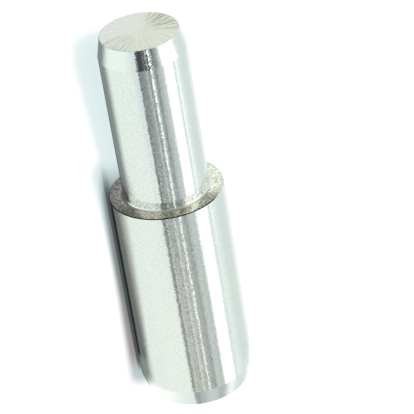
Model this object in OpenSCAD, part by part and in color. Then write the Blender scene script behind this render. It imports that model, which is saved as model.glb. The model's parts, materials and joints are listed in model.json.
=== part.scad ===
// Stepped dowel pin, turned and ground from one bar.
// The large end presses into its hole up to the shoulder, and the small end stands out of the hole
// to locate whatever is dropped over it.
// The pin stands on its large end, with its axis along +Z and the middle of its foot face at the
// origin. Lengths are in millimetres and angles in degrees.

/* [Body] */
// Diameter of the large end
body_d = 8; // [7.6:0.1:20]
// Length of the large end, from the foot face up to the shoulder
body_l = 16; // [8:0.5:60]

/* [Nose] */
// Diameter of the small end
nose_d = 6; // [4:0.1:7.4]
// Length of the small end, from the shoulder up to the nose face
nose_l = 12.25; // [6:0.25:40]

/* [Lead-in tapers] */
// Length of the taper that leads the nose into its hole
nose_taper_l = 1.4; // [0.3:0.05:3]
// Angle between the nose's taper and the axis
nose_taper_deg = 12.5; // [5:0.5:30]
// Length of the taper that leads the large end into its hole
foot_taper_l = 1.35; // [0.3:0.05:3]
// Angle between the foot's taper and the axis
foot_taper_deg = 15.5; // [5:0.5:30]

/* [Edges] */
// Radius of the fillet where the nose rises from the shoulder
root_fillet_r = 0.2; // [0.05:0.05:0.5]
// Radius of the shoulder's broken outer edge
rim_round_r = 0.06; // [0.02:0.01:0.2]
// Radius of the broken edge round the nose face
nose_edge_r = 0.05; // [0.02:0.01:0.3]
// Radius of the broken edge round the foot face
foot_edge_r = 0.1; // [0.02:0.01:0.3]

/* [Hidden] */
$fn = 180;

body_r = body_d / 2;
nose_r = nose_d / 2;
shoulder_w = body_r - nose_r;
// The fillet and the broken rim share the shoulder, and always leave a flat seat between them.
root_r = min(root_fillet_r, shoulder_w / 2);
rim_r = min(rim_round_r, shoulder_w / 4);
steel = [0.80, 0.82, 0.81];

// The waste of a square corner rounded to radius r, between the arc and the corner at [r, r].
module corner_spandrel(r) {
    difference() {
        square(r);
        circle(r);
    }
}

// Half the section of one diameter, from height 0 up to an end face at height l.
// A taper leads up to the face, and an arc of radius edge_r touches them both.
module diameter_section(r, l, taper_l, taper_deg, edge_r) {
    face_r = r - taper_l * tan(taper_deg);
    arc_x = face_r - edge_r * tan(45 - taper_deg / 2);
    arc_y = l - edge_r;
    polygon([
        [0, 0],
        [r, 0],
        [r, l - taper_l],
        [arc_x + edge_r * cos(taper_deg), arc_y + edge_r * sin(taper_deg)],
        [arc_x, arc_y],
        [arc_x, l],
        [0, l]
    ]);
    translate([arc_x, arc_y])
        circle(edge_r);
}

// The large end, which tapers down to the foot, with its rim broken at the shoulder.
module body_section() {
    difference() {
        translate([0, body_l])
            mirror([0, 1])
                diameter_section(body_r, body_l, foot_taper_l, foot_taper_deg, foot_edge_r);
        translate([body_r - rim_r, body_l - rim_r])
            corner_spandrel(rim_r);
    }
}

// The small end, which tapers up to the nose face.
module nose_section() {
    translate([0, body_l])
        diameter_section(nose_r, nose_l, nose_taper_l, nose_taper_deg, nose_edge_r);
}

// The fillet in the corner between the nose and the shoulder.
module root_fillet_section() {
    translate([nose_r + root_r, body_l + root_r])
        mirror([1, 0])
            mirror([0, 1])
                corner_spandrel(root_r);
}

// The whole pin, turned from its section.
module stepped_pin() {
    color(steel)
        rotate_extrude() {
            body_section();
            nose_section();
            root_fillet_section();
        }
}

stepped_pin();
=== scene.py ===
"""A stepped dowel pin in ground steel, standing on its large end on a plain white floor.

The pin is one turned piece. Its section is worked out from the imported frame's own sizes, and a
Geometry Nodes tree turns it about the axis and cuts the faint tool marks of each face into it.
"""
import json
import logging
import math
from dataclasses import dataclass, field
from enum import IntEnum

import bmesh
import bpy
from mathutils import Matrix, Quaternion, Vector


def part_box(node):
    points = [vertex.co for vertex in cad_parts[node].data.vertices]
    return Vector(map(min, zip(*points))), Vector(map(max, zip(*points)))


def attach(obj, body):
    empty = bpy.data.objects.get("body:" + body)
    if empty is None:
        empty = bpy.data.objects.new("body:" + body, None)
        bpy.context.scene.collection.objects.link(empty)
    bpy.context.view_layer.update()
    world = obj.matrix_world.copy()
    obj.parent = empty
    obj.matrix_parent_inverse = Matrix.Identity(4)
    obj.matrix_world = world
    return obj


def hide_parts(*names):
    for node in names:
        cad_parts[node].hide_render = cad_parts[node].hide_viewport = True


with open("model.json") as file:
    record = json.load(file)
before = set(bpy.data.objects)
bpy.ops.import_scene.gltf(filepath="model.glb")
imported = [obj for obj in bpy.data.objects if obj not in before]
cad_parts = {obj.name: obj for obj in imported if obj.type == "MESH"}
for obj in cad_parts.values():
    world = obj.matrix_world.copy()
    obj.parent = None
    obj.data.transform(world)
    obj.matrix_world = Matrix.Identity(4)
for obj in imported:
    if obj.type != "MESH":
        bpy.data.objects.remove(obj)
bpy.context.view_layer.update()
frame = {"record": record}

MM = 0.001
MICRON = 0.000001
NODE = "stepped_pin"
BODY = "root"

Colour = tuple[float, float, float]
Span = tuple[float, float]
Socket = bpy.types.NodeSocket

WHITE: Colour = (1.0, 1.0, 1.0)
QUARTER_TURN = 0.25

log = logging.getLogger("dowel")


class Zone(IntEnum):
    """The stretches of the pin's section, from the foot's middle to the nose's middle."""

    FOOT_FACE = 0
    FOOT_EDGE = 1
    FOOT_TAPER = 2
    LARGE_SIDE = 3
    RIM = 4
    SHOULDER = 5
    ROOT = 6
    SMALL_SIDE = 7
    NOSE_TAPER = 8
    NOSE_EDGE = 9
    NOSE_FACE = 10


class NodeBoard:
    """Adds and links the nodes of one tree."""

    def __init__(self, tree: bpy.types.NodeTree) -> None:
        """Takes the tree that the nodes go into."""
        self.tree = tree

    def add(self, kind: str, **settings: object) -> bpy.types.Node:
        """Adds a node.

        Args:
            kind: Blender's name of the node type.
            settings: properties to set on the node.

        Returns:
            The new node.
        """
        node = self.tree.nodes.new(kind)
        for name, value in settings.items():
            setattr(node, name, value)
        return node

    def feed(self, socket: Socket, value: object) -> None:
        """Links an output to an input socket, or sets a plain value on it.

        Args:
            socket: the input socket.
            value: the output socket or the plain value.
        """
        if isinstance(value, Socket):
            self.tree.links.new(value, socket)
        else:
            socket.default_value = value

    def put(self, kind: str, inputs: dict, **settings: object) -> bpy.types.Node:
        """Adds a node and feeds its inputs.

        Args:
            kind: Blender's name of the node type.
            inputs: values or output sockets by input name or number.
            settings: properties to set on the node.

        Returns:
            The new node.
        """
        node = self.add(kind, **settings)
        for key, value in inputs.items():
            self.feed(self.socket(node.inputs, key), value)
        return node

    @staticmethod
    def socket(sockets: object, key: object) -> Socket:
        """Finds a socket in use.

        Args:
            sockets: a node's inputs or outputs.
            key: the socket's number or name.

        Returns:
            The socket.
        """
        if isinstance(key, int):
            return sockets[key]
        return next(s for s in sockets if s.name == key and s.enabled)

    def out(self, node: bpy.types.Node, key: object = 0) -> Socket:
        """Returns one of a node's outputs."""
        return self.socket(node.outputs, key)

    def math(self, operation: str, *values: object) -> Socket:
        """Adds a Math node over the values and returns its result."""
        return self.put("ShaderNodeMath", dict(enumerate(values)), operation=operation).outputs[0]

    def product(self, *values: object) -> Socket:
        """Multiplies all the values, from the first to the last.

        Args:
            values: the values or output sockets.

        Returns:
            The product.
        """
        result = values[0]
        for value in values[1:]:
            result = self.math("MULTIPLY", result, value)
        return result

    def vector(self, operation: str, *values: object) -> Socket:
        """Adds a Vector Math node over the values and returns its result."""
        node = self.put("ShaderNodeVectorMath", dict(enumerate(values)), operation=operation)
        return node.outputs["Value" if operation in ("LENGTH", "DOT_PRODUCT") else "Vector"]

    def parts(self, vector: Socket) -> object:
        """Takes a vector apart and returns the sockets of its three numbers."""
        return self.put("ShaderNodeSeparateXYZ", {0: vector}).outputs

    def joined(self, *values: object) -> Socket:
        """Makes one vector of up to three numbers."""
        return self.put("ShaderNodeCombineXYZ", dict(enumerate(values))).outputs[0]

    def smooth(self, value: object, low: object, high: object) -> Socket:
        """Eases from 0 at low to 1 at high."""
        inputs = {"Value": value, "From Min": low, "From Max": high}
        return self.put("ShaderNodeMapRange", inputs, interpolation_type="SMOOTHSTEP").outputs["Result"]

    def remap(self, value: object, given: Span, wanted: Span) -> Socket:
        """Maps one range onto another along a straight line.

        Args:
            value: the value or output socket.
            given: the range it comes in.
            wanted: the range to give back.

        Returns:
            The value in the wanted range.
        """
        numbers = dict(zip(("From Min", "From Max", "To Min", "To Max"), (*given, *wanted)))
        return self.put("ShaderNodeMapRange", {"Value": value, **numbers}).outputs["Result"]

    def blend(self, share: object, under: object, over: object) -> Socket:
        """Mixes two colours, over by its share."""
        inputs = {"Factor": share, "A": under, "B": over}
        return self.out(self.put("ShaderNodeMix", inputs, data_type="RGBA"), "Result")

    def noise(
        self, place: Socket, scale: object = 1.0, detail: float = 0.0, roughness: float = 0.5
    ) -> Socket:
        """Adds a Noise Texture and returns its value, 0 to 1."""
        inputs = {"Vector": place, "Scale": scale, "Detail": detail, "Roughness": roughness}
        return self.put("ShaderNodeTexNoise", inputs).outputs[0]


class MaterialBoard(NodeBoard):
    """Makes one material, whose nodes read the point of the surface that they colour."""

    def __init__(self, name: str) -> None:
        """Makes the material with only its coordinates.

        Args:
            name: the material's name.
        """
        self.material = bpy.data.materials.new(name)
        self.material.use_nodes = True
        self.material.node_tree.nodes.clear()
        super().__init__(self.material.node_tree)
        self.place = self.add("ShaderNodeTexCoord").outputs["Object"]

    def scaled(self, *scale: float) -> Socket:
        """Scales the point along each axis."""
        return self.put("ShaderNodeMapping", {"Vector": self.place, "Scale": scale}).outputs[0]

    def finished(self, surface: Socket) -> bpy.types.Material:
        """Links the shader to the output and returns the material."""
        self.put("ShaderNodeOutputMaterial", {"Surface": surface})
        return self.material


def rgba(colour: Colour) -> tuple[float, float, float, float]:
    """Gives a colour its full alpha."""
    return (*colour, 1.0)


def either_side(colour: Colour, share: float) -> list[tuple[float, float, float, float]]:
    """Gives a colour darker and lighter by a share."""
    return [rgba(tuple(c * (1 + way * share) for c in colour)) for way in (-1, 1)]


def floor_square(name: str, half: float, level: float, material: bpy.types.Material) -> bpy.types.Object:
    """Lays a level square round the pin's foot.

    Args:
        name: the square's name.
        half: half its side, in metres.
        level: its height, in metres.
        material: what it shows.

    Returns:
        The square's object.
    """
    mesh = bpy.data.meshes.new(name)
    corners = [(-half, -half, level), (half, -half, level), (half, half, level), (-half, half, level)]
    mesh.from_pydata(corners, [], [(0, 1, 2, 3)])
    mesh.materials.append(material)
    square = bpy.data.objects.new(name, mesh)
    bpy.context.collection.objects.link(square)
    return square


@dataclass(frozen=True)
class MetalFinish:
    """Steel with tool marks that run round the pin.

    Lengths are in metres. The marks are long round the pin and narrow along it. The colour and the
    roughness go through their ranges while the grain goes from one of its limits to the other.
    """

    name: str
    colour: Colour = (0.77, 0.785, 0.775)
    roughness: float = 0.08
    anisotropy: float = 0.4
    mark_pitch: float = 0.11 * MM
    mark_length: float = 14 * MM
    mark_depth: float = 0.15 * MICRON
    mark_detail: float = 3.0
    grain_size: float = 0.08 * MM
    grain_depth: float = 1.15 * MICRON
    grain_limits: Span = (0.3, 0.7)
    sparkle: float = 0.017
    sparkle_size: float = 0.07 * MM
    tint_range: float = 0.06
    roughness_range: float = 0.02
    lean: Span = (0.0, 0.0)
    lean_radii: Span = (3.2 * MM, 3.94 * MM)

    def marks(self, board: MaterialBoard) -> Socket:
        """Draws the long narrow marks left by the wheel or the tool.

        Args:
            board: the material's nodes.

        Returns:
            The marks' height, 0 to 1.
        """
        mapped = board.scaled(1 / self.mark_length, 1 / self.mark_length, 1 / self.mark_pitch)
        return board.noise(mapped, detail=self.mark_detail)

    def grain(self, board: MaterialBoard) -> Socket:
        """Draws the metal's fine grain and returns its height, 0 to 1."""
        return board.noise(board.scaled(*(1 / self.grain_size,) * 3))

    def relief(self, board: MaterialBoard) -> Socket:
        """Adds the marks and the grain into one height, in metres."""
        marks = board.math("MULTIPLY", self.marks(board), self.mark_depth)
        return board.math("MULTIPLY_ADD", self.grain(board), self.grain_depth, marks)

    def tint(self, board: MaterialBoard) -> Socket:
        """Varies the steel's colour a little from grain to grain."""
        share = board.smooth(self.grain(board), *self.grain_limits)
        return board.blend(share, *either_side(self.colour, self.tint_range))

    def facing(self, board: MaterialBoard) -> Socket:
        """Finds which way the metal faces, before the marks.

        The tool marks of a turned face are like saw teeth, so the face leans outwards, by the
        lean's first value at the inner radius and its second at the outer one.

        Args:
            board: the material's nodes.

        Returns:
            The direction.
        """
        normal = board.add("ShaderNodeNewGeometry").outputs["Normal"]
        flat = self.level(board)
        lean = board.remap(board.vector("LENGTH", flat), self.lean_radii, self.lean)
        leant = board.vector("MULTIPLY_ADD", board.vector("NORMALIZE", flat), lean, normal)
        return board.vector("NORMALIZE", leant)

    def sparkled(self, board: MaterialBoard, normal: Socket) -> Socket:
        """Tips the metal's smallest facets, each its own way.

        Args:
            board: the material's nodes.
            normal: the direction the metal faces without the facets.

        Returns:
            The direction the facet faces.
        """
        cell = board.vector("FLOOR", board.vector("DIVIDE", board.place, (self.sparkle_size,) * 3))
        drawn = board.put("ShaderNodeTexWhiteNoise", {"Vector": cell}).outputs["Color"]
        swing = board.vector("SUBTRACT", drawn, (0.5,) * 3)
        tipped = board.vector("MULTIPLY_ADD", swing, (2 * self.sparkle,) * 3, normal)
        return board.vector("NORMALIZE", tipped)

    def level(self, board: MaterialBoard) -> Socket:
        """Flattens the surface's point onto the floor."""
        return board.vector("MULTIPLY", board.place, (1.0, 1.0, 0.0))

    def side(self, board: MaterialBoard, turn: float) -> Socket:
        """Measures how near a point's spoke is to one way round the pin.

        Args:
            board: the material's nodes.
            turn: the way, in degrees from +X towards +Y.

        Returns:
            The cosine of the angle between them.
        """
        spoke = board.vector("NORMALIZE", self.level(board))
        way = (math.cos(math.radians(turn)), math.sin(math.radians(turn)), 0.0)
        return board.vector("DOT_PRODUCT", spoke, way)

    def material(self) -> bpy.types.Material:
        """Builds the finish.

        Returns:
            The new material.
        """
        board = MaterialBoard(self.name)
        board.material.diffuse_color = rgba(self.colour)
        inputs = {"Height": self.relief(board), "Distance": 1.0, "Strength": 1.0}
        if any(self.lean):
            inputs["Normal"] = self.facing(board)
        bump = board.put("ShaderNodeBump", inputs)
        facets = self.sparkled(board, bump.outputs[0])
        reach = (self.roughness - self.roughness_range, self.roughness + self.roughness_range)
        rough = board.remap(self.grain(board), self.grain_limits, reach)
        along = board.add("ShaderNodeTangent", direction_type="UV_MAP", uv_map="UVMap")
        steel = board.put(
            "ShaderNodeBsdfPrincipled",
            {
                "Base Color": self.tint(board),
                "Metallic": 1.0,
                "Roughness": rough,
                "Anisotropic": self.anisotropy,
                "Anisotropic Rotation": QUARTER_TURN,
                "Tangent": along.outputs[0],
                "Normal": facets,
            },
        )
        return board.finished(steel.outputs[0])


@dataclass(frozen=True)
class RimShadeFinish(MetalFinish):
    """A broken edge with painted shade: near black towards one side of the pin, painted light on the
    other.
    """

    # painted light: the rim's other side is painted this bright colour
    bright: Colour = (0.78, 0.79, 0.74)
    rim_shade_turn: float = -118.0
    turn: Span = (0.02, 0.24)

    def tint(self, board: MaterialBoard) -> Socket:
        """Paints shade on the edge towards one side of the pin and light on the other."""
        share = board.smooth(self.side(board, self.rim_shade_turn), *self.turn)
        return board.blend(share, rgba(self.bright), super().tint(board))


@dataclass(frozen=True)
class FacedFinish(MetalFinish):
    """A faced end, with streaks that meet in the middle of the face, painted light towards its far side
    and painted shade in streaks to one side.

    A turn is in degrees from +X towards +Y. What lies that way comes in between its two limits,
    which are cosines of the angle from the turn. The limits of streaks are values of their noise.
    """

    middle: Span = (0.10 * MM, 0.20 * MM)
    face_r: float = 2.69 * MM
    streaks: float = 13.0
    streak_detail: Span = (3.0, 0.65)
    streak_drift: float = 35.0
    streak_limits: Span = (0.62, 0.36)
    streak_share: float = 0.8
    streak_tint: Colour = (0.66, 0.675, 0.60)
    far_turn: float = 150.0
    far_limits: Span = (-0.6, 0.9)
    # painted light: the face and its streaks are lighter and greyer towards the far side
    far_painted_light: Colour = (0.81, 0.825, 0.815)
    far_painted_light_streak: Colour = (0.72, 0.725, 0.71)
    # painted shade: dark streaks to one side of the face, weaker on the opposite side
    painted_streak_shade: Colour = (0.31, 0.31, 0.21)
    painted_shade_streaks: float = 15.6
    painted_shade_shift: float = 7.0
    painted_shade_streak_limits: Span = (0.48, 0.58)
    painted_shade_reach: Span = (0.16, 0.6)
    painted_shade_turn: float = 27.0
    painted_shade_limits: Span = (0.60, 0.96)
    opposite_turn: float = 217.0
    opposite_limits: Span = (0.80, 1.0)
    opposite_share: float = 0.45

    def level(self, board: MaterialBoard) -> Socket:
        """Flattens the surface's point onto the floor, measured from where the streaks meet."""
        return board.vector("SUBTRACT", super().level(board), (*self.middle, 0.0))

    def rays(self, board: MaterialBoard, scale: float, shift: float) -> Socket:
        """Draws streaks that keep their angle from the middle to the edge.

        Args:
            board: the material's nodes.
            scale: how fine the streaks are.
            shift: picks another set of streaks.

        Returns:
            The streaks, 0 to 1.
        """
        flat = self.level(board)
        moved = board.vector("ADD", board.vector("NORMALIZE", flat), (0.0, 0.0, shift))
        bent = board.vector("MULTIPLY_ADD", flat, (self.streak_drift, self.streak_drift, 0.0), moved)
        return board.noise(bent, scale, *self.streak_detail)

    def tint(self, board: MaterialBoard) -> Socket:
        """Colours the streaks, painted lighter towards the far side, with painted shade in a few streaks
        to one side and fewer opposite.

        Args:
            board: the material's nodes.

        Returns:
            The colour.
        """
        # painted light towards the far side
        far = board.smooth(self.side(board, self.far_turn), *self.far_limits)
        ground = board.blend(far, rgba(self.colour), rgba(self.far_painted_light))
        fine = board.smooth(self.rays(board, self.streaks, 0.0), *self.streak_limits)
        streak = board.blend(far, rgba(self.streak_tint), rgba(self.far_painted_light_streak))
        colour = board.blend(board.math("MULTIPLY", fine, self.streak_share), ground, streak)
        # painted shade in streaks, strongest to one side and weaker opposite
        near = board.smooth(self.side(board, self.painted_shade_turn), *self.painted_shade_limits)
        across = board.smooth(self.side(board, self.opposite_turn), *self.opposite_limits)
        where = board.math("MAXIMUM", near, board.math("MULTIPLY", across, self.opposite_share))
        painted_shade_noise = self.rays(board, self.painted_shade_streaks, self.painted_shade_shift)
        dark = board.smooth(painted_shade_noise, *self.painted_shade_streak_limits)
        reach = [share * self.face_r for share in self.painted_shade_reach]
        outer = board.smooth(board.vector("LENGTH", self.level(board)), *reach)
        return board.blend(board.product(where, dark, outer), colour, rgba(self.painted_streak_shade))


@dataclass(frozen=True)
class StudioPanel:
    """A card, lamp or flag of the studio, as the pin sees it.

    Azimuth is in degrees from the camera, positive towards its right. Elevation is in degrees
    above the floor. The light is what the panel shows, 1 being white. Ripple is how uneven it is.
    """

    name: str
    azimuth: Span
    elevation: Span
    light: Colour
    soft: Span = (3.0, 8.0)
    ripple: float = 0.0


@dataclass
class Studio:
    """The plain studio round the pin, seen only in its reflections.

    The panels slant a little near the height at which the camera sees the pin's upright sides.
    """

    open_light: Colour = (0.985, 1.07, 1.015)
    ambient: Colour = (0.50, 0.61, 0.61)
    slant: float = 0.5
    slant_middle: float = -31.2
    slant_range: float = 4.5
    ripple_pitch: Span = (1.2, 20.0)
    ripple_limits: Span = (0.40, 0.60)
    panels: list[StudioPanel] = field(default_factory=list)

    def window_group(self) -> bpy.types.NodeTree:
        """Builds the node group that lays one panel over the light behind it.

        Returns:
            The group.
        """
        group = bpy.data.node_groups.new("Studio panel", "ShaderNodeTree")
        numbers = [
            "Azimuth", "Elevation", "Middle azimuth", "Half width", "Azimuth edge",
            "Middle elevation", "Half height", "Elevation edge",
        ]
        for name in numbers:
            group.interface.new_socket(name, in_out="INPUT", socket_type="NodeSocketFloat")
        for name in ("Behind", "Light"):
            group.interface.new_socket(name, in_out="INPUT", socket_type="NodeSocketColor")
        group.interface.new_socket("Seen", in_out="OUTPUT", socket_type="NodeSocketColor")
        board = NodeBoard(group)
        given = board.add("NodeGroupInput").outputs
        turn = board.math("SUBTRACT", given["Azimuth"], given["Middle azimuth"])
        turn = board.math("ABSOLUTE", board.math("WRAP", turn, 180.0, -180.0))
        rise = board.math("SUBTRACT", given["Elevation"], given["Middle elevation"])
        rise = board.math("ABSOLUTE", rise)
        across = self.inside(board, turn, given["Half width"], given["Azimuth edge"])
        upright = self.inside(board, rise, given["Half height"], given["Elevation edge"])
        seen = board.blend(board.product(across, upright), given["Behind"], given["Light"])
        board.put("NodeGroupOutput", {"Seen": seen})
        return group

    @staticmethod
    def inside(board: NodeBoard, away: Socket, half: Socket, edge: Socket) -> Socket:
        """Returns 1 well within half of the middle, falling to 0 over the soft edge."""
        outside = board.smooth(away, board.math("SUBTRACT", half, edge), board.math("ADD", half, edge))
        return board.math("SUBTRACT", 1.0, outside)

    def rippled(self, board: NodeBoard, panel: StudioPanel, azimuth: Socket, elevation: Socket) -> object:
        """Works out a panel's light, with its ripple.

        Args:
            board: the world's nodes.
            panel: the panel.
            azimuth: the way looked at, in degrees.
            elevation: its height, in degrees.

        Returns:
            The light, as a colour or a socket.
        """
        if not panel.ripple:
            return rgba(panel.light)
        across = board.math("DIVIDE", azimuth, self.ripple_pitch[0])
        upright = board.math("DIVIDE", elevation, self.ripple_pitch[1])
        share = board.smooth(board.noise(board.joined(across, upright)), *self.ripple_limits)
        return board.blend(share, *either_side(panel.light, panel.ripple))

    def build(self) -> None:
        """Builds the world that holds the panels."""
        world = bpy.data.worlds.new("Studio")
        world.use_nodes = True
        world.node_tree.nodes.clear()
        bpy.context.scene.world = world
        board = NodeBoard(world.node_tree)
        parts = board.parts(board.add("ShaderNodeTexCoord").outputs["Generated"])
        towards = board.math("MULTIPLY", parts[1], -1.0)
        azimuth = board.math("DEGREES", board.math("ARCTAN2", parts[0], towards))
        elevation = board.math("DEGREES", board.math("ARCSINE", parts[2]))
        rise = board.math("SUBTRACT", elevation, self.slant_middle)
        rise = board.math("MINIMUM", board.math("MAXIMUM", rise, -self.slant_range), self.slant_range)
        azimuth = board.math("MULTIPLY_ADD", rise, self.slant, azimuth)
        group = self.window_group()
        seen = rgba(self.open_light)
        for panel in self.panels:
            inputs = {
                "Azimuth": azimuth,
                "Elevation": elevation,
                "Middle azimuth": sum(panel.azimuth) / 2,
                "Half width": (panel.azimuth[1] - panel.azimuth[0]) / 2,
                "Azimuth edge": panel.soft[0],
                "Middle elevation": sum(panel.elevation) / 2,
                "Half height": (panel.elevation[1] - panel.elevation[0]) / 2,
                "Elevation edge": panel.soft[1],
                "Behind": seen,
                "Light": self.rippled(board, panel, azimuth, elevation),
            }
            node = board.add("ShaderNodeGroup", node_tree=group, label=panel.name)
            for name, value in inputs.items():
                board.feed(node.inputs[name], value)
            seen = node.outputs["Seen"]
        path = board.add("ShaderNodeLightPath").outputs
        light = board.blend(path["Is Glossy Ray"], rgba(self.ambient), seen)
        light = board.blend(path["Is Camera Ray"], light, rgba(WHITE))
        back = board.put("ShaderNodeBackground", {"Color": light, "Strength": 1.0})
        board.put("ShaderNodeOutputWorld", {"Surface": back.outputs[0]})
        log.info("studio: %d panels", len(self.panels))


@dataclass
class Floor:
    """A plain white floor that keeps the pin's shadow.

    The shadow is deepest beside the large end, so the floor has a soft shade there as well, with a
    narrow darker line along its left side, where the two meet. The shade and the line run back
    from the foot, each with its own slope to the left. Of each pair of limits the first is where
    it begins and the second is where it is full.
    """

    size: float = 3.0
    albedo: float = 0.9
    paper: Colour = (0.27, 0.29, 0.295)
    shade_near: Colour = (0.50, 0.60, 0.63)
    shade: Colour = (0.30, 0.30, 0.30)
    shade_turn: Span = (0.8 * MM, 4.6 * MM)
    shade_slope: float = 0.037
    shade_left: Span = (5.22 * MM, 4.32 * MM)
    shade_right: Span = (3.7 * MM, 2.9 * MM)
    shade_start: Span = (-0.6 * MM, 1.4 * MM)
    shade_end: Span = (33.0 * MM, 25.0 * MM)
    core: Span = (0.08, 0.95)
    fringe: Colour = (0.85, 0.89, 0.895)
    fringe_gain: float = 4.0
    line: Colour = (0.36, 0.36, 0.36)
    line_slope: float = 0.0459
    line_left: Span = (4.285 * MM, 4.185 * MM)
    line_right: Span = (3.5 * MM, 4.0 * MM)
    line_start: Span = (1.4 * MM, 3.0 * MM)

    def shaded(self, board: MaterialBoard) -> Socket:
        """Works out how much light the shade and the line leave at each point of the floor.

        Args:
            board: the floor's nodes.

        Returns:
            The share of the light, as a colour.
        """
        parts = board.parts(board.place)
        across = board.math("MULTIPLY_ADD", parts[1], self.shade_slope, parts[0])
        left = board.smooth(board.math("MULTIPLY", across, -1.0), *self.shade_left)
        right = board.smooth(across, *self.shade_right)
        start = board.smooth(parts[1], *self.shade_start)
        end = board.smooth(parts[1], *self.shade_end)
        share = board.math("MULTIPLY", board.product(left, right), board.product(start, end))
        far = board.smooth(parts[1], *self.shade_turn)
        shade = board.blend(far, rgba(self.shade_near), rgba(self.shade))
        edge = board.math("MULTIPLY", share, self.fringe_gain)
        fringe = board.blend(edge, rgba(WHITE), rgba(self.fringe))
        soft = board.blend(board.smooth(share, *self.core), fringe, shade)
        beside = board.math("MULTIPLY_ADD", parts[1], self.line_slope, parts[0])
        beside = board.math("MULTIPLY", beside, -1.0)
        left = board.smooth(beside, *self.line_left)
        right = board.smooth(beside, *self.line_right)
        start = board.smooth(parts[1], *self.line_start)
        dark = board.blend(board.product(left, right, start, end), rgba(WHITE), rgba(self.line))
        return board.vector("MULTIPLY", soft, dark)

    def material(self) -> bpy.types.Material:
        """Builds the floor's white, with the share that only the camera sees.

        Returns:
            The new material.
        """
        board = MaterialBoard("White floor")
        path = board.add("ShaderNodeLightPath").outputs
        left = self.shaded(board)
        white = board.vector("MULTIPLY", left, (self.albedo,) * 3)
        glow = board.vector("MULTIPLY", left, self.paper)
        matt = board.put("ShaderNodeBsdfDiffuse", {"Color": white})
        paper = board.put("ShaderNodeEmission", {"Color": glow, "Strength": path["Is Camera Ray"]})
        both = board.put("ShaderNodeAddShader", {0: matt.outputs[0], 1: paper.outputs[0]})
        return board.finished(both.outputs[0])

    def build(self) -> None:
        """Lays the floor at the pin's foot."""
        floor = floor_square("Floor", self.size / 2, 0.0, self.material())
        floor.visible_glossy = False
        log.info("floor: %.1f m square", self.size)


def reflection_card(name: str, half: float, level: float, material: bpy.types.Material) -> None:
    """Lays a square card that only reflections see.

    Args:
        name: the card's name.
        half: half its side, in metres.
        level: its height, in metres.
        material: what it shows.
    """
    card = floor_square(name, half, level, material)
    card.visible_camera = False
    card.visible_diffuse = False
    card.visible_shadow = False
    card.visible_transmission = False
    log.info("card: %s", name)


@dataclass
class FootGlow:
    """The white floor close round the foot, as the foot's taper reflects it.

    Angles are in degrees from the camera, positive towards its right.
    """

    light: Colour = (1.25, 1.30, 1.24)
    left_edge: Span = (14.0, 50.0)
    left_end: Span = (95.0, 72.0)
    right_edge: Span = (66.0, 106.0)
    reach: Span = (4.8 * MM, 6.2 * MM)

    def material(self) -> bpy.types.Material:
        """Builds the glow, which leaves the camera's side as it is.

        Returns:
            The new material.
        """
        board = MaterialBoard("Foot glow")
        parts = board.parts(board.place)
        towards = board.math("MULTIPLY", parts[1], -1.0)
        azimuth = board.math("DEGREES", board.math("ARCTAN2", parts[0], towards))
        leftwards = board.math("MULTIPLY", azimuth, -1.0)
        left = board.smooth(leftwards, *self.left_edge)
        left = board.math("MULTIPLY", left, board.smooth(leftwards, *self.left_end))
        right = board.smooth(azimuth, *self.right_edge)
        near = board.smooth(board.vector("LENGTH", board.place), self.reach[1], self.reach[0])
        share = board.math("MULTIPLY", board.math("ADD", left, right), near)
        clear = board.add("ShaderNodeBsdfTransparent")
        glow = board.put("ShaderNodeEmission", {"Color": rgba(self.light), "Strength": 1.0})
        both = board.put("ShaderNodeMixShader", {0: share, 1: clear.outputs[0], 2: glow.outputs[0]})
        return board.finished(both.outputs[0])

    def build(self) -> None:
        """Lays the glow on the floor."""
        reflection_card("Foot glow", self.reach[1], 0.0, self.material())


@dataclass
class SideVeil:
    """The shaded floor behind the large end's left side, as that side reflects it.

    Angles are in degrees from straight back, positive towards the left. Reach is measured from the
    side of the large end. The card is larger than the reach by the margin.
    """

    side: float
    deep: Colour = (0.11, 0.105, 0.10)
    shade: Colour = (0.66, 0.63, 0.61)
    deep_edge: Span = (33.0, 42.0)
    shade_edge: Span = (76.0, 100.0)
    right_edge: Span = (-1.0, -3.0)
    start: Span = (3.0 * MM, 4.2 * MM)
    reach: Span = (24.0 * MM, 31.0 * MM)
    margin: float = 1.5
    level: float = -0.02 * MM

    def material(self) -> bpy.types.Material:
        """Builds the veil, which dims what is seen through it.

        Returns:
            The new material.
        """
        board = MaterialBoard("Side veil")
        moved = board.vector("ADD", board.place, (self.side, 0.0, 0.0))
        parts = board.parts(moved)
        leftwards = board.math("MULTIPLY", parts[0], -1.0)
        angle = board.math("DEGREES", board.math("ARCTAN2", leftwards, parts[1]))
        distance = board.vector("LENGTH", moved)
        white = rgba(WHITE)
        shaded = board.blend(board.smooth(angle, *self.shade_edge), rgba(self.shade), white)
        shaded = board.blend(board.smooth(angle, *self.deep_edge), rgba(self.deep), shaded)
        shaded = board.blend(board.smooth(angle, *self.right_edge), shaded, white)
        shaded = board.blend(board.smooth(distance, *self.start), white, shaded)
        shaded = board.blend(board.smooth(distance, *self.reach), shaded, white)
        return board.finished(board.put("ShaderNodeBsdfTransparent", {"Color": shaded}).outputs[0])

    def build(self) -> None:
        """Lays the veil on the floor."""
        reflection_card("Side veil", self.margin * self.reach[1], self.level, self.material())


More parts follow.
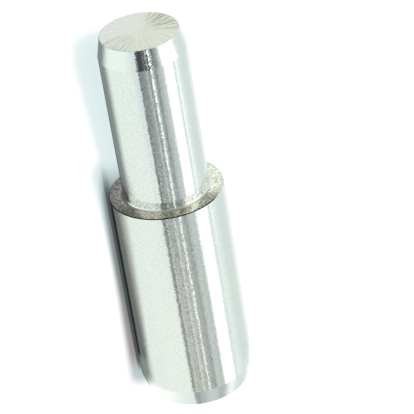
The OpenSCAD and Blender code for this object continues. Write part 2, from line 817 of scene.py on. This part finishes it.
@dataclass
class KeyLamp:
    """A soft lamp beside the camera, which lays a shadow behind the pin."""

    name: str
    azimuth: float
    elevation: float
    strength: float
    width: float
    colour: Colour = (1.0, 0.62, 0.60)
    distance: float = 0.5

    def build(self) -> None:
        """Adds the lamp."""
        data = bpy.data.lights.new(self.name, "SUN")
        data.energy = self.strength
        data.color = self.colour
        data.angle = math.radians(self.width)
        lamp = bpy.data.objects.new(self.name, data)
        lamp.visible_glossy = False
        turn, rise = math.radians(self.azimuth), math.radians(self.elevation)
        towards = Vector(
            (math.sin(turn) * math.cos(rise), -math.cos(turn) * math.cos(rise), math.sin(rise))
        )
        lamp.location = towards * self.distance
        lamp.rotation_mode = "QUATERNION"
        lamp.rotation_quaternion = (-towards).to_track_quat("-Z", "Y")
        bpy.context.collection.objects.link(lamp)
        log.info("lamp: %s, %.1f degrees up", self.name, self.elevation)


@dataclass
class PhotoCamera:
    """The photograph's viewing angle on the pin.

    The place is in metres, the angles are in degrees and the lens and its sensor in millimetres.
    """

    place: tuple[float, float, float] = (2.5506 * MM, -142.835 * MM, 102.470 * MM)
    down: float = 31.80
    roll: float = 9.41
    lens: float = 211.3
    sensor: float = 36.0
    clip: Span = (0.01, 10.0)

    def build(self) -> None:
        """Adds the camera and makes it the scene's own."""
        data = bpy.data.cameras.new("Camera")
        data.lens = self.lens
        data.sensor_width = self.sensor
        data.clip_start, data.clip_end = self.clip
        camera = bpy.data.objects.new("Camera", data)
        tilt = math.radians(self.down)
        look = Vector((0.0, math.cos(tilt), -math.sin(tilt)))
        camera.location = self.place
        camera.rotation_mode = "QUATERNION"
        level = look.to_track_quat("-Z", "Y")
        camera.rotation_quaternion = level @ Quaternion((0, 0, 1), math.radians(-self.roll))
        bpy.context.collection.objects.link(camera)
        bpy.context.scene.camera = camera
        log.info("camera: %.1f mm lens", self.lens)


@dataclass
class PinSection:
    """Half the section of the pin, in metres.

    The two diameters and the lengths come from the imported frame. The tapers and the edges are the
    source's own values. A step is the longest distance between two rings of a stretch.
    """

    body_r: float
    nose_r: float
    body_l: float
    height: float
    foot_taper_l: float = 1.35 * MM
    foot_taper_deg: float = 15.5
    nose_taper_l: float = 1.4 * MM
    nose_taper_deg: float = 12.5
    foot_edge_r: float = 0.1 * MM
    nose_edge_r: float = 0.05 * MM
    rim_r: float = 0.06 * MM
    rim_start_deg: float = 5
    root_r: float = 0.2 * MM
    arc_steps: int = 10
    support: float = 0.02 * MM
    first_ring: float = 0.2 * MM
    foot_face_step: float = 0.35 * MM
    taper_step: float = 0.5 * MM
    side_step: float = 1.6 * MM
    shoulder_step: float = 0.03 * MM
    nose_face_step: float = 0.12 * MM
    points: list[tuple[float, float, int]] = field(default_factory=list)

    def leg(self, end: tuple[float, float], zone: Zone, step: float) -> None:
        """Runs a straight stretch from the last point to an end.

        Args:
            end: radius and height of the stretch's end.
            zone: the stretch's zone.
            step: the longest step between rings.
        """
        start = self.points[-1][:2]
        length = math.dist(start, end)
        count = max(1, math.ceil((length - 2 * self.support) / step))
        inner = [self.support + (length - 2 * self.support) * i / count for i in range(count + 1)]
        self.points[-1] = (*start, int(zone))
        for distance in inner:
            share = distance / length
            ring = tuple(a + (b - a) * share for a, b in zip(start, end))
            self.points.append((*ring, int(zone)))
        self.points.append((*end, int(zone)))

    def arc(self, middle: tuple[float, float], radius: float, turn: Span, zone: Zone) -> None:
        """Runs an arc from the last point.

        Args:
            middle: radius and height of the arc's middle.
            radius: the arc's radius.
            turn: the angles in degrees of its start and end, 0 being outwards and 90 up.
            zone: the arc's zone.
        """
        self.points[-1] = (*self.points[-1][:2], int(zone))
        for i in range(1, self.arc_steps + 1):
            angle = math.radians(turn[0] + (turn[1] - turn[0]) * i / self.arc_steps)
            ring = (middle[0] + radius * math.cos(angle), middle[1] + radius * math.sin(angle))
            self.points.append((*ring, int(zone)))

    @staticmethod
    def edge_middle(r: float, length: float, slope: float, edge_r: float) -> float:
        """Finds how far from the axis the middle of a broken end edge is."""
        face_r = r - length * math.tan(math.radians(slope))
        return face_r - edge_r * math.tan(math.radians(45 - slope / 2))

    def foot_edge_x(self) -> float:
        """Finds the middle of the foot's broken edge."""
        return self.edge_middle(self.body_r, self.foot_taper_l, self.foot_taper_deg, self.foot_edge_r)

    def nose_edge_x(self) -> float:
        """Finds the middle of the nose's broken edge."""
        return self.edge_middle(self.nose_r, self.nose_taper_l, self.nose_taper_deg, self.nose_edge_r)

    def run(self) -> list[tuple[float, float, int]]:
        """Goes up the section from the foot's middle to the nose's middle.

        Returns:
            Radius, height and zone of each ring.
        """
        foot = (self.foot_edge_x(), self.foot_edge_r)
        nose = (self.nose_edge_x(), self.height - self.nose_edge_r)
        self.points = [(0.0, 0.0, int(Zone.FOOT_FACE)), (self.first_ring, 0.0, int(Zone.FOOT_FACE))]
        self.leg((foot[0], 0.0), Zone.FOOT_FACE, self.foot_face_step)
        self.arc(foot, self.foot_edge_r, (-90, -self.foot_taper_deg), Zone.FOOT_EDGE)
        self.leg((self.body_r, self.foot_taper_l), Zone.FOOT_TAPER, self.taper_step)
        self.leg((self.body_r, self.body_l - self.rim_r), Zone.LARGE_SIDE, self.side_step)
        rim = (self.body_r - self.rim_r, self.body_l - self.rim_r)
        self.arc(rim, self.rim_r, (0, self.rim_start_deg), Zone.LARGE_SIDE)
        self.arc(rim, self.rim_r, (self.rim_start_deg, 90), Zone.RIM)
        root = (self.nose_r + self.root_r, self.body_l + self.root_r)
        self.leg((root[0], self.body_l), Zone.SHOULDER, self.shoulder_step)
        self.arc(root, self.root_r, (-90, -180), Zone.ROOT)
        self.leg((self.nose_r, self.height - self.nose_taper_l), Zone.SMALL_SIDE, self.side_step)
        start = math.radians(self.nose_taper_deg)
        taper_end = (
            nose[0] + self.nose_edge_r * math.cos(start),
            nose[1] + self.nose_edge_r * math.sin(start),
        )
        self.leg(taper_end, Zone.NOSE_TAPER, self.taper_step)
        self.arc(nose, self.nose_edge_r, (self.nose_taper_deg, 90), Zone.NOSE_EDGE)
        self.leg((self.first_ring, self.height), Zone.NOSE_FACE, self.nose_face_step)
        self.points.append((0.0, self.height, int(Zone.NOSE_FACE)))
        return self.points


@dataclass
class TurnedPin:
    """The whole pin: its section turned about the axis, with the faces' tool marks cut in.

    A ring belongs to a flat face when its height is the face's own, within the slack.
    """

    section: PinSection
    segments: int = 480
    streak_depth: float = 2.0 * MICRON
    streak_scale: float = 9.0
    streak_detail: Span = (3.0, 0.6)
    groove_depth: float = 1.5 * MICRON
    groove_pitch: float = 0.12 * MM
    face_slack: float = 0.1 * MICRON
    weld: float = 0.1 * MICRON
    seed: float = 4.0
    sharp_deg: float = 11.0

    @staticmethod
    def finishes() -> dict[MetalFinish, list[Zone]]:
        """Lists the pin's finishes.

        Returns:
            Each finish with the zones that have it.
        """
        ground = MetalFinish("Ground steel")
        polished = MetalFinish(
            "Polished taper", roughness_range=0.01, grain_depth=2 * MICRON, tint_range=0.03, sparkle=0.018
        )
        # the near-white colour paints a highlight along the broken edges
        broken = MetalFinish("Broken edge", colour=(0.97, 0.98, 0.95), roughness=0.7)
        # near-black colour: painted shade along the rim, towards one side of the pin
        rim = RimShadeFinish(
            "Rim with painted shade", colour=(0.02, 0.018, 0.015), roughness=0.3, grain_depth=6 * MICRON, tint_range=0.9
        )
        turned = MetalFinish(
            "Turned shoulder", colour=(0.76, 0.76, 0.70), roughness=0.11, anisotropy=0.3,
            mark_depth=0.3 * MICRON, grain_depth=5 * MICRON, grain_size=0.11 * MM,
            tint_range=0.36, sparkle=0.02, lean=(0.08, 0.22),
        )
        faced = FacedFinish(
            "Faced end", colour=(0.79, 0.795, 0.74), roughness=0.17, anisotropy=0.3, grain_depth=3 * MICRON
        )
        return {
            ground: [Zone.LARGE_SIDE, Zone.SMALL_SIDE, Zone.ROOT],
            polished: [Zone.NOSE_TAPER, Zone.FOOT_TAPER],
            broken: [Zone.NOSE_EDGE, Zone.FOOT_EDGE],
            rim: [Zone.RIM],
            turned: [Zone.SHOULDER],
            faced: [Zone.NOSE_FACE, Zone.FOOT_FACE],
        }

    def section_object(self) -> bpy.types.Object:
        """Lays the section out as a line of points, each with its zone and its way along.

        Returns:
            The line's object.
        """
        rings = self.section.run()
        mesh = bpy.data.meshes.new("Pin section")
        steps = [(i, i + 1) for i in range(len(rings) - 1)]
        mesh.from_pydata([(r, 0.0, z) for r, z, _ in rings], steps, [])
        zone = mesh.attributes.new("zone", "INT", "POINT")
        zone.data.foreach_set("value", [k for _, _, k in rings])
        way = [0.0]
        for a, b in zip(rings, rings[1:]):
            way.append(way[-1] + math.dist(a[:2], b[:2]))
        along = mesh.attributes.new("along", "FLOAT", "POINT")
        along.data.foreach_set("value", [w / way[-1] for w in way])
        made = bpy.data.objects.new("Pin section", mesh)
        bpy.context.collection.objects.link(made)
        return made

    def tree(self, finishes: dict[MetalFinish, list[Zone]]) -> bpy.types.NodeTree:
        """Builds the tree that turns the section.

        Args:
            finishes: the finishes with their zones.

        Returns:
            The tree, whose named inputs are the numbers of TurnedPin.
        """
        tree = bpy.data.node_groups.new("Turn the section", "GeometryNodeTree")
        tree.interface.new_socket("Section", in_out="INPUT", socket_type="NodeSocketGeometry")
        tree.interface.new_socket("Segments", in_out="INPUT", socket_type="NodeSocketInt")
        for name in ("Streak depth", "Streak scale", "Groove depth", "Groove pitch", "Weld", "Seed"):
            tree.interface.new_socket(name, in_out="INPUT", socket_type="NodeSocketFloat")
        tree.interface.new_socket("Pin", in_out="OUTPUT", socket_type="NodeSocketGeometry")
        board = NodeBoard(tree)
        given = board.add("NodeGroupInput").outputs
        section = given["Section"]
        size = board.put("GeometryNodeAttributeDomainSize", {0: section}, component="MESH")
        rings = board.out(size, "Point Count")
        columns = board.math("ADD", given["Segments"], 1.0)
        grid = board.put(
            "GeometryNodeMeshGrid",
            {"Size X": 1.0, "Size Y": 1.0, "Vertices X": rings, "Vertices Y": columns},
        )
        spot = board.parts(board.add("GeometryNodeInputPosition").outputs[0])
        steps = board.math("SUBTRACT", rings, 1.0)
        up = board.math("MULTIPLY", board.math("ADD", spot[0], 0.5), steps)
        ring = board.math("ROUND", up)
        strip = board.math("FLOOR", up)
        around = board.math("ADD", spot[1], 0.5)

        zone = self.sample(board, section, "zone", strip, "INT")
        marked = board.put(
            "GeometryNodeStoreNamedAttribute",
            {"Geometry": grid.outputs["Mesh"], "Name": "zone", "Value": zone},
            data_type="INT", domain="FACE",
        )
        along = self.sample(board, section, "along", ring, "FLOAT")
        mapped = board.put(
            "GeometryNodeStoreNamedAttribute",
            {"Geometry": marked.outputs[0], "Name": "UVMap", "Value": board.joined(around, along)},
            data_type="FLOAT2", domain="CORNER",
        )
        place = board.put(
            "GeometryNodeSampleIndex",
            {
                "Geometry": section,
                "Value": board.add("GeometryNodeInputPosition").outputs[0],
                "Index": ring,
            },
            data_type="FLOAT_VECTOR", domain="POINT",
        )
        parts = board.parts(board.out(place, "Value"))
        angle = board.math("MULTIPLY", around, math.tau)
        east = board.math("MULTIPLY", parts[0], board.math("COSINE", angle))
        north = board.math("MULTIPLY", parts[0], board.math("SINE", angle))
        level = board.math("SUBTRACT", parts[2], self.relief(board, given, parts, angle))
        turned = board.put(
            "GeometryNodeSetPosition",
            {"Geometry": mapped.outputs[0], "Position": board.joined(east, north, level)},
        )
        welded = board.put(
            "GeometryNodeMergeByDistance", {"Geometry": turned.outputs[0], "Distance": given["Weld"]}
        )
        shape = board.put("GeometryNodeRealizeInstances", {0: welded.outputs[0]}).outputs[0]
        named = board.put("GeometryNodeInputNamedAttribute", {"Name": "zone"}, data_type="INT")
        for finish, zones in finishes.items():
            material = finish.material()
            for each in zones:
                is_here = board.put(
                    "FunctionNodeCompare", {"A": board.out(named, "Attribute"), "B": int(each)},
                    data_type="INT", operation="EQUAL",
                )
                dressed = board.put(
                    "GeometryNodeSetMaterial",
                    {"Geometry": shape, "Selection": is_here.outputs[0], "Material": material},
                )
                shape = dressed.outputs[0]
        board.put("NodeGroupOutput", {"Pin": shape})
        return tree

    @staticmethod
    def sample(board: NodeBoard, section: Socket, name: str, index: Socket, kind: str) -> Socket:
        """Reads one of the section's values.

        Args:
            board: the tree's nodes.
            section: the section.
            name: the value's name.
            index: which of the section's points.
            kind: the value's data type.

        Returns:
            The value.
        """
        named = board.put("GeometryNodeInputNamedAttribute", {"Name": name}, data_type=kind)
        found = board.put(
            "GeometryNodeSampleIndex",
            {"Geometry": section, "Value": board.out(named, "Attribute"), "Index": index},
            data_type=kind, domain="POINT",
        )
        return board.out(found, "Value")

    def relief(self, board: NodeBoard, given: object, parts: object, angle: Socket) -> Socket:
        """Works out how deep the tool marks of the flat faces are.

        Args:
            board: the tree's nodes.
            given: the tree's inputs.
            parts: the section point's radius, nothing and height.
            angle: the way round the pin, in radians.

        Returns:
            The depth below the face.
        """
        section = self.section
        spoke = board.joined(board.math("COSINE", angle), board.math("SINE", angle), given["Seed"])
        noise = board.noise(spoke, given["Streak scale"], *self.streak_detail)
        ease_in = board.smooth(parts[0], section.first_ring, 4 * section.first_ring)
        nose_x = section.nose_edge_x()
        ease_out = board.smooth(parts[0], nose_x, nose_x - 6 * section.support)
        on_nose = board.math("GREATER_THAN", parts[2], section.height - self.face_slack)
        streaks = board.product(noise, given["Streak depth"], ease_in, ease_out, on_nose)

        wave = board.math("DIVIDE", parts[0], given["Groove pitch"])
        wave = board.math("SINE", board.math("MULTIPLY", wave, math.tau))
        wave = board.math("MULTIPLY_ADD", wave, 0.5, 0.5)
        off = board.math("ABSOLUTE", board.math("SUBTRACT", parts[2], section.body_l))
        on_shoulder = board.math("LESS_THAN", off, self.face_slack)
        low, high = section.nose_r + section.root_r, section.body_r - section.rim_r
        from_root = board.smooth(parts[0], low, low + 4 * section.support)
        from_rim = board.smooth(parts[0], high, high - 4 * section.support)
        grooves = board.product(wave, given["Groove depth"], on_shoulder, from_root, from_rim)
        return board.math("ADD", streaks, grooves)

    def build(self) -> bpy.types.Object:
        """Turns the section into one closed mesh.

        Returns:
            The pin's object, at the origin.
        """
        source = self.section_object()
        tree = self.tree(self.finishes())
        modifier = source.modifiers.new("Turn", "NODES")
        modifier.node_group = tree
        values = {
            "Segments": self.segments,
            "Streak depth": self.streak_depth,
            "Streak scale": self.streak_scale,
            "Groove depth": self.groove_depth,
            "Groove pitch": self.groove_pitch,
            "Weld": self.weld,
            "Seed": self.seed,
        }
        for item in tree.interface.items_tree:
            if item.in_out == "INPUT" and item.name in values:
                modifier[item.identifier] = values[item.name]
        graph = bpy.context.evaluated_depsgraph_get()
        mesh = bpy.data.meshes.new_from_object(source.evaluated_get(graph))
        mesh.name = "Stepped pin"
        source.modifiers.remove(modifier)
        bpy.data.objects.remove(source)
        self.close(mesh)
        pin = bpy.data.objects.new("Stepped_pin", mesh)
        bpy.context.collection.objects.link(pin)
        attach(pin, BODY)
        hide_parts(NODE)
        log.info("pin: %d faces, %d finishes", len(mesh.polygons), len(mesh.materials))
        return pin

    def close(self, mesh: bpy.types.Mesh) -> None:
        """Points the faces outwards, keeps the crisp edges crisp and drops empty material slots.

        Args:
            mesh: the turned pin.
        """
        work = bmesh.new()
        work.from_mesh(mesh)
        bmesh.ops.remove_doubles(work, verts=work.verts, dist=self.weld)
        bmesh.ops.recalc_face_normals(work, faces=work.faces)
        open_edges = sum(1 for edge in work.edges if not edge.is_manifold)
        work.to_mesh(mesh)
        work.free()
        mesh.shade_smooth()
        mesh.set_sharp_from_angle(angle=math.radians(self.sharp_deg))
        for index in reversed(range(len(mesh.materials))):
            if mesh.materials[index] is None:
                mesh.materials.pop(index=index)
        log.info("pin: %d open edges", open_edges)


def studio_panels() -> list[StudioPanel]:
    """Lists the studio's cards, lamps and flags.

    The small end's upright side sees what is above the split and the large end's what is below it,
    so a panel made for one of them is cut off there.

    Returns:
        The panels, each laid over those before it.
    """
    split, cut = -31.8, 0.3
    return [
        StudioPanel("upper room", (-180, 180), (18, 110), (0.42, 0.43, 0.37), (3, 8)),
        StudioPanel("left sky", (-97, -27), (30, 66), (0.67, 0.69, 0.56), (6, 6)),
        StudioPanel("left sky's low part", (-108, -22), (4, 31), (1.02, 1.08, 1.04), (8, 6)),
        StudioPanel("left card by the nose", (-98, -44), (-24, 2), (1.05, 1.16, 1.08), (8, 6)),
        StudioPanel("left card by the large end", (-72, -15), (-60, split), (1.03, 1.095, 1.02), (9, cut)),
        StudioPanel("right wall", (103, 146), (-60, 20), (0.83, 0.93, 0.89), (12, 12)),
        StudioPanel("right wall's low top", (84, 152), (4, 30), (1.02, 1.08, 1.04), (8, 6)),
        StudioPanel("right wall's top", (97, 150), (36, 70), (0.55, 0.59, 0.51), (4, 4)),
        StudioPanel("right back card", (152, 180), (-60, 8), (0.98, 1.03, 1.00), (16, 10)),
        StudioPanel("left flag", (-184, -114.5), (-52, 66), (0.28, 0.32, 0.31), (16, 8)),
        StudioPanel("left flag's far end", (-178, -152), (-52, -26), (0.19, 0.22, 0.22), (8, 4)),
        StudioPanel("left flag's top", (-171.2, -115), (8, 75), (0.25, 0.255, 0.255), (1.3, 5)),
        StudioPanel("left flag's middle", (-156, -116), (0, 34), (0.12, 0.13, 0.125), (6, 6)),
        StudioPanel("left flag's tip", (-168, -145), (38, 48), (0.14, 0.145, 0.115), (4, 3)),
        StudioPanel("gap's shade", (-31, -18), (split, 40), (0.86, 0.96, 0.965), (7, cut)),
        StudioPanel("camera gap", (-17.7, 47), (-52, 34), (0.51, 0.56, 0.545), (1.6, 6), 0.45),
        StudioPanel(
            "camera gap by the large end", (-18.7, 47), (-52, split), (0.67, 0.70, 0.645), (1.6, cut), 0.5
        ),
        StudioPanel(
            "gap's shade by the large end", (22, 36), (-52, split), (0.50, 0.54, 0.51), (4, cut), 0.4
        ),
        StudioPanel("gap's dark side", (-17.7, -4), (split, 34), (0.31, 0.35, 0.345), (1.6, cut), 0.45),
        StudioPanel("gap's dark line", (-18.7, -12.5), (-52, split), (0.42, 0.44, 0.41), (1.4, cut), 0.3),
        StudioPanel("gap's top", (-22, 48), (34, 68), (0.32, 0.325, 0.26), (4, 4)),
        StudioPanel("strip in the gap's top", (15.5, 31), (34, 58), (0.64, 0.64, 0.53), (4, 4)),
        StudioPanel("softbox from below", (50.5, 104), (34, 68), (0.64, 0.67, 0.54), (4, 4)),
        StudioPanel("softbox's edge from below", (70, 98.5), (34, 68), (1.24, 1.28, 1.14), (3.5, 4)),
        StudioPanel("gap's right shade", (21, 34), (split, 24), (0.40, 0.46, 0.46), (4, cut), 0.4),
        StudioPanel("camera gap below", (-25, 76), (-90, -48), (0.56, 0.61, 0.59), (6, 6)),
        StudioPanel("gap's dark side below", (-25, -8), (-90, -48), (0.42, 0.46, 0.45), (4, 6)),
        StudioPanel("gap's bright part below", (14, 50), (-90, -48), (0.72, 0.76, 0.75), (10, 6)),
        StudioPanel("card below", (81, 102), (-90, -46), (1.08, 1.20, 1.19), (6, 6)),
        StudioPanel("gap's line", (7.8, 13.5), (split, 24), (0.33, 0.355, 0.35), (1.5, cut), 0.5),
        StudioPanel("gap's ramp", (39, 52), (-52, 24), (0.67, 0.75, 0.74), (4, 8)),
        StudioPanel("right softbox", (50, 78.6), (-52, 34), (1.40, 1.42, 1.42), (3.5, 4)),
        StudioPanel("softbox's near edge below", (41, 50.5), (-52, split), (0.63, 0.69, 0.67), (2.5, cut)),
        StudioPanel("softbox frame", (80.5, 84.5), (-60, -24), (0.84, 0.92, 0.93), (2, 4)),
        StudioPanel("card beside the softbox", (86.5, 93), (split, -24), (1.17, 1.31, 1.33), (4, cut)),
        StudioPanel("softbox's top", (44.5, 94), (-20, 34), (1.38, 1.40, 1.38), (4, 4)),
        StudioPanel("camera's grip", (20, 33), (-17, 8), (0.34, 0.37, 0.38), (3, 4)),
        StudioPanel("camera", (-15.6, 26), (-17, 8), (0.085, 0.095, 0.11), (1.5, 4), 0.5),
        StudioPanel("camera's edge", (0.5, 1.8), (-16, 7), (0.50, 0.52, 0.54), (0.6, 4)),
        StudioPanel("camera's lens", (7.0, 9.5), (-16, 7), (0.9, 0.92, 0.93), (0.6, 4)),
        StudioPanel("camera's strap", (20.5, 23.0), (-16, 7), (0.9, 0.94, 0.95), (0.6, 4)),
        StudioPanel("lit edge", (18.5, 22), (split, -20), (0.70, 0.77, 0.76), (2.5, cut)),
        StudioPanel("slit", (15.7, 17.4), (split, 20), (1.9, 2.0, 1.95), (0.6, cut)),
        StudioPanel(
            "gap's line by the large end", (10.5, 15.4), (-52, split), (0.46, 0.48, 0.45), (1.5, cut), 0.6
        ),
        StudioPanel("slit by the large end", (16.2, 17.3), (-52, split), (1.9, 1.97, 1.9), (0.5, cut)),
        StudioPanel("slit over the camera", (15.4, 17.5), (-17, 8), (2.6, 2.70, 2.65), (0.6, 3)),
        StudioPanel("back card", (150, 188.4), (18, 37.3), (0.97, 1.01, 0.95), (1.3, 3)),
        StudioPanel("back card's right end", (150, 179.5), (16, 36.8), (0.98, 1.04, 0.96), (2.5, 2.5)),
    ]


def main() -> None:
    """Builds the camera, the studio and the pin."""
    logging.basicConfig(level=logging.INFO, format="%(message)s")
    mounts = {mount["name"]: mount for mount in frame["record"]["mounts"]}
    section = PinSection(
        body_r=mounts["body"]["dims"]["r_mm"] * MM,
        nose_r=mounts["nose"]["dims"]["r_mm"] * MM,
        body_l=mounts["shoulder"]["pos_m"][2],
        height=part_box(NODE)[1][2],
    )
    PhotoCamera().build()
    Studio(panels=studio_panels()).build()
    Floor().build()
    FootGlow().build()
    SideVeil(side=section.body_r).build()
    KeyLamp("Key lamp", azimuth=4.82, elevation=27.85, strength=2.0, width=1.1).build()
    KeyLamp("Fill lamp", azimuth=4.3, elevation=28.2, strength=0.9, width=3.0).build()
    TurnedPin(section).build()
    scene = bpy.context.scene
    scene.view_settings.view_transform = "Standard"


if __name__ == "__main__":
    main()
